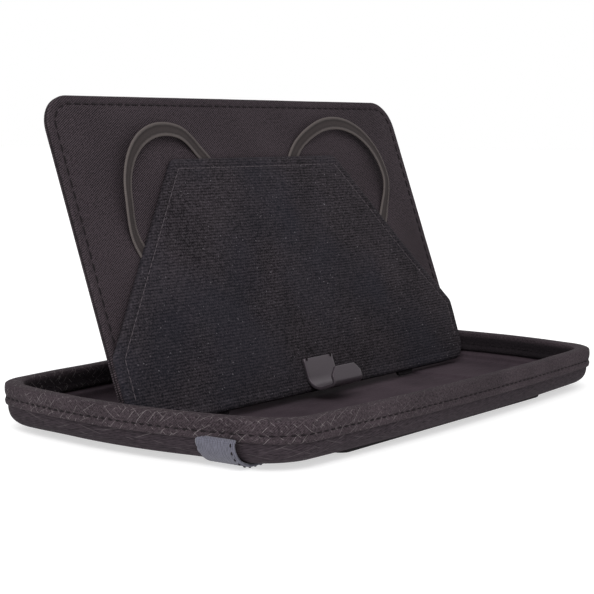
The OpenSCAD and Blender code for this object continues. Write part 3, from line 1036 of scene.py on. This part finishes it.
def loop_piece(side, body):
    steps = 90
    path, frames = [], []
    loop = LEFT_LOOP if side < 0 else RIGHT_LOOP
    middle = [loop_curve(i / steps, loop) for i in range(steps + 1)]
    for i, p in enumerate(middle):
        t = i / steps
        d = (middle[min(i + 1, steps)] - middle[max(i - 1, 0)]).normalized()
        radial = Vector((-d.y, d.x)) * (1 if side < 0 else -1)
        free = smooth(min(t, 1 - t) / 0.2)
        twist = -18 * smooth((t - 0.3) / 0.35) if side < 0 else -15 * math.cos(math.pi * t)
        tilt = math.radians(twist * free)
        across = radial * math.cos(tilt)
        path.append(on_board(p.x, p.y, loop_height(t)))
        a = Vector((across.x, 0, 0)) + UP * across.y + OUT * math.sin(tilt)
        along = Vector((d.x, 0, 0)) + UP * d.y
        out = along.cross(a).normalized()
        if out.dot(OUT) < 0:
            out = -out
        frames.append((a.normalized(), out))
    w = LOOP_W / 2
    half = [(-w, 0.05), (-w + 0.06, 0.25), (-w + 0.35, 0.42), (-w + 0.8, 0.42), (-w + 1.2, 0.22),
            (-w + 1.6, 0.08), (-0.4, 0.05), (0, 0.04)]
    top = half + [(-a, b) for a, b in reversed(half[:-1])]
    section = top + [(a, -b * 0.7) for a, b in reversed(top)]
    name = "left_loop_ribbon" if side < 0 else "right_loop_ribbon"
    obj = sweep(name, path, frames, section, mat_loop)
    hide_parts(body)
    a, b = middle[0].to_2d(), middle[-1].to_2d()
    chord = (b - a).normalized()
    away = Vector((-chord.y, chord.x))
    if away.dot(middle[steps // 2].to_2d() - a) < 0:
        away = -away
    near, far = a + away * 5.5, a + away * 12.0
    on_board(near.x, near.y)
    on_board(far.x, far.y)
    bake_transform(obj)


# ---- hook ----


def hook_piece():
    """Bent sheet: back plate, rounded ledge and a lip with clipped corners."""
    back_top, bend, lip_bend, low = 12.0, 6.0, 2.0, -0.8
    sheet, depth, lip = 1.2, 10.9, 5.8
    half = (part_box("support_hook")[1].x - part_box("support_hook")[0].x) / 2 / MM
    front = REST_FRONT + 0.25
    lip_x = REST_FRONT + depth + sheet
    top = low + sheet + lip
    mid = sheet / 2
    line = [(front + mid, v) for v in (back_top, 10.5, 8.5)]
    for x, radius, angles in ((front + bend, bend, quarter(180, 270, 10)),
                              (lip_x - lip_bend, lip_bend, quarter(270, 360, 8))):
        r = radius - mid
        line += [(x + r * math.cos(a), low + radius + r * math.sin(a)) for a in angles]
    line += [(lip_x - mid, v) for v in (2.2, top - 2.9, top - 2.2, top - 1.2, top - 0.5, top)]
    run = lengths([(a, b, 0) for a, b in line])
    rows, columns = [], 16
    for i, (n, v) in enumerate(line):
        j, k = max(i - 1, 0), min(i + 1, len(line) - 1)
        d = Vector((line[k][0] - line[j][0], line[k][1] - line[j][1])).normalized()
        normal = Vector((d.y, -d.x))
        left = run[-1] - run[i]
        clip = 3.0 * max(0.0, 1 - left / 2.9) if n > 10 else 0.0
        rows.append((n, v, normal, half - clip))
    verts, faces = [], []
    for sign in (1, -1):
        for n, v, normal, h in rows:
            for c in range(columns + 1):
                x = -h + 2 * h * c / columns
                verts.append(on_board(x, v + normal.y * mid * sign, n + normal.x * mid * sign))
    wide, tall = columns + 1, len(rows)
    side = wide * tall
    for s in (0, 1):
        for i in range(tall - 1):
            for c in range(columns):
                a = s * side + i * wide + c
                faces.append([a, a + 1, a + wide + 1, a + wide])
    rim = list(range(wide)) + [i * wide + columns for i in range(1, tall)]
    rim += [(tall - 1) * wide + c for c in range(columns - 1, -1, -1)]
    rim += [i * wide for i in range(tall - 2, 0, -1)]
    for a, b in zip(rim, rim[1:] + rim[:1]):
        faces.append([a, b, b + side, a + side])
    obj = new_object("hook_plate", verts, faces, mat_hook, [[(0.0, 0.0)] * len(f) for f in faces])
    bevel = obj.modifiers.new("edges", "BEVEL")
    bevel.width = 0.28 * MM
    bevel.segments = 3
    bevel.limit_method = "ANGLE"
    bevel.angle_limit = math.radians(40)
    put(obj, "board", "hook_sheet", "support_hook")
    face = front + sheet
    for side_name, x in (("left", 1.4 - half), ("right", half - 1.4)):
        path = [on_board(x, 10.9, face + 0.1), on_board(x, 12.1, face + 0.1), on_board(x, 13.1, 2.6)]
        stitch_row("hook_tack_" + side_name, "board", "hook_sheet", path, lambda p: OUT, mat_dark_thread,
                   pitch=2.4, radius=0.3, share=0.9, closed=False)


# ---- prop and its two cloth hinges ----

HINGE_CLOTH = 0.55


def prop_pieces():
    low, high = 1.7, PROP_LEN - 1.7
    a, b = 34.0, 46.0
    outline = Outline([(-a, low), (a, low), (b, high), (-b, high)], [2.5] * 4, 6, 2.6)
    centre = Vector((0, PROP_LEN / 2))
    side = [(0.0, 0.0), (0.05, 0.5), (0.3, 0.85), (0.8, 1.0), (1.8, 1.06), (2.6, 0.92), (3.0, 0.86),
            (3.4, 0.92), (4.4, 1.0)]
    back = [(i, -n) for i, n in side]
    obj = double_panel("prop_cover", outline, back, side, on_prop, centre, mat_twill_back,
                       lambda x, s: 0.08 * uneven(x, s, 1, 0.06))
    put(obj, "prop", "board_twill", "prop_top_skin", "prop_under_skin", "prop_core")
    hem = outline.at(3.0)
    for name, n, d in (("prop_thread_under", 0.88, 1), ("prop_thread_top", -0.88, -1)):
        path = [on_prop(p.x, p.y, n) for p in hem]
        stitch_row(name, "prop", "board_twill", path, lambda p, d=d: PROP_OUT * d, mat_dark_thread,
                   pitch=STITCH_PITCH, radius=0.2, sink=0.2)


def hinge_strip(name, node, line, half_width, end):
    """Cloth strip that turns from one body to the other; line is (y, z) points in millimetres."""
    rings = []
    n = len(line)
    points = [Vector((0, y, z)) for y, z in line]
    for i, p in enumerate(points):
        d = (points[min(i + 1, n - 1)] - points[max(i - 1, 0)]).normalized()
        out = Vector((0, -d.z, d.y)) * HINGE_CLOTH / 2
        h = half_width(i / (n - 1))
        columns = 24
        top = [p + out + Vector((-h + 2 * h * c / columns, 0, 0)) for c in range(columns + 1)]
        low = [p - out + Vector((h - 2 * h * c / columns, 0, 0)) for c in range(columns + 1)]
        rings.append([q * MM for q in top + low])
    obj = rings_object(name, rings, mat_hinge)
    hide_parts(node)
    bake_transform(obj)


def bezier(a, b, c, d, steps):
    out = []
    for i in range(steps + 1):
        t = i / steps
        p = a * (1 - t) ** 3 + b * 3 * t * (1 - t) ** 2 + c * 3 * t * t * (1 - t) + d * t ** 3
        out.append((p.y, p.z))
    return out


def rim_hinge():
    wall_y = RIM_AXIS.y - 0.55
    wall = [(wall_y, z) for z in (9.4, 11.0, 12.6, 14.2)]
    p0 = Vector((0, wall_y, 15.2))
    p3 = (RIM_AXIS + PROP_DIR * 2.6 + PROP_OUT * 1.45)
    curve = bezier(p0, p0 + Vector((0, 0, 1.6)), p3 - PROP_DIR * 1.6, p3, 10)
    far = [tuple((RIM_AXIS + PROP_DIR * s + PROP_OUT * 1.4).yz) for s in (4.2, 6.0, 8.0, 10.0)]
    hinge_strip("rim_hinge_cloth", "rim_hinge_tape", wall + curve + far, lambda t: 33.0,
                end=tuple(p3 * MM))


def board_hinge():
    n_back = -BOARD_T - 0.35
    board_at = [on_board(0, v, n_back) / MM for v in (60, 57, 54, 51)]
    board_line = [(p.y, p.z) for p in board_at]
    p0 = on_board(0, 49.6, n_back) / MM
    p3 = RIM_AXIS + PROP_DIR * (PROP_LEN - 3.2) - PROP_OUT * 1.4
    curve = bezier(p0, p0 - UP * 1.6, p3 + PROP_DIR * 1.6, p3, 10)
    far = [tuple((RIM_AXIS + PROP_DIR * (PROP_LEN - s) - PROP_OUT * 1.4).yz) for s in (5.0, 7.5, 10.0, 12.0)]
    hinge_strip("board_hinge_cloth", "board_hinge_tape", board_line + curve + far,
                lambda t: 44.0 - 3.5 * smooth((t - 0.5) * 2),
                end=tuple(p0 * MM))


# ---- build the object ----

shell_piece()
base_pad("base_pad_rear_cloth", "base_pad_rear", 1.6)
base_pad("base_pad_front_cloth", "base_pad_front", 1.0)
lining_piece()
binding_piece()
binding_stitches()
band_piece()
board_pieces()
foot_tabs()
backrest_piece()
loop_piece(-1, "left_loop")
loop_piece(1, "right_loop")
hook_piece()
prop_pieces()
rim_hinge()
board_hinge()

for node_name, node_material in (("board_core", mat_core), ("loop_tails", mat_loop)):
    node_object = frame["nodes"][node_name]
    node_object.data.materials.clear()
    node_object.data.materials.append(node_material)

# ---- studio ----


def area_light(name, place, target, size, power):
    data = bpy.data.lights.new(name, "AREA")
    data.shape = "RECTANGLE"
    data.size, data.size_y = size
    data.energy = power
    light = bpy.data.objects.new(name, data)
    light.location = place
    light.rotation_euler = (Vector(place) - Vector(target)).to_track_quat("Z", "Y").to_euler()
    bpy.context.scene.collection.objects.link(light)


FLOOR_HALF = 6.0


def studio():
    mesh = bpy.data.meshes.new("floor")
    corners = [(x * FLOOR_HALF, y * FLOOR_HALF, 0) for x, y in ((-1, -1), (1, -1), (1, 1), (-1, 1))]
    mesh.from_pydata(corners, [], [(0, 1, 2, 3)])
    net = Net("floor_paint", roughness=0.9, specular=0.1)
    grain = net.noise(net.object_coords(), 0.01, 2)
    paint = net.ramp(grain, [(0.3, (0.55, 0.55, 0.55, 1)), (0.7, (0.57, 0.57, 0.57, 1))])
    mesh.materials.append(net.finish(paint))
    net.fill(net.bsdf, {"Emission Color": (1, 1, 1, 1), "Emission Strength": 0.58})
    floor = bpy.data.objects.new("floor", mesh)
    floor.location.z = -0.0002
    bpy.context.scene.collection.objects.link(floor)
    area_light("key", (-0.62, -0.42, 0.62), (0, 0, 0.03), (0.5, 0.4), 4.5)
    world = bpy.data.worlds.new("studio")
    world.use_nodes = True
    tree = world.node_tree
    direction = tree.nodes.new("ShaderNodeTexCoord")
    towards = tree.nodes.new("ShaderNodeVectorMath")
    towards.operation = "DOT_PRODUCT"
    towards.inputs[1].default_value = (0.6, -0.79, 0.1)
    tree.links.new(direction.outputs["Generated"], towards.inputs[0])
    shade = tree.nodes.new("ShaderNodeValToRGB")
    for stop, at, grey in zip(shade.color_ramp.elements, (0.3, 0.8), (1, 0.75)):
        stop.position = at
        stop.color = (grey, grey, grey, 1)
    tree.links.new(towards.outputs["Value"], shade.inputs[0])
    tree.links.new(shade.outputs[0], tree.nodes["Background"].inputs["Color"])
    tree.nodes["Background"].inputs["Strength"].default_value = 1.0
    bpy.context.scene.world = world
    bpy.context.scene.view_settings.view_transform = "Standard"


studio()
